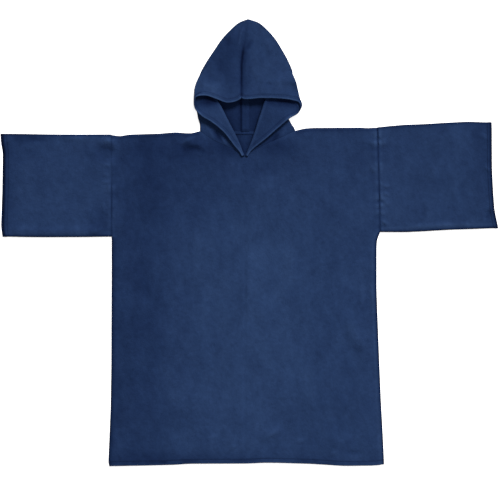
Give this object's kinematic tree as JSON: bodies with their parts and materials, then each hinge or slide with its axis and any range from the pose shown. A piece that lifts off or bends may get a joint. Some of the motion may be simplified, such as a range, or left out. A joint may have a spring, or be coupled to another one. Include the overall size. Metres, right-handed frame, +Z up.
{
  "type": "hooded bath poncho",
  "caption": "Hooded bath poncho of thick towelling laid out flat on its back, with short wide sleeves, a V neck and a pointed hood whose mouth is open upwards.",
  "frame": {"origin": "middle of the bounding box's underside, which is the surface the garment lies on", "axes": "+X across to the right-hand cuff of the picture, +Y from the hem to the tip of the hood, +Z up from the surface"},
  "size_m": [1.493, 1.3412, 0.0306],
  "materials": {
    "microfibre": "short brushed nap, matt, self-coloured hems and stitching"
  },
  "bodies": {
    "root": {"back_panel": "microfibre", "front_panel": "microfibre", "sleeve_left": "microfibre", "sleeve_right": "microfibre", "hood_left": "microfibre", "hood_right": "microfibre"}
  },
  "joints": []
}
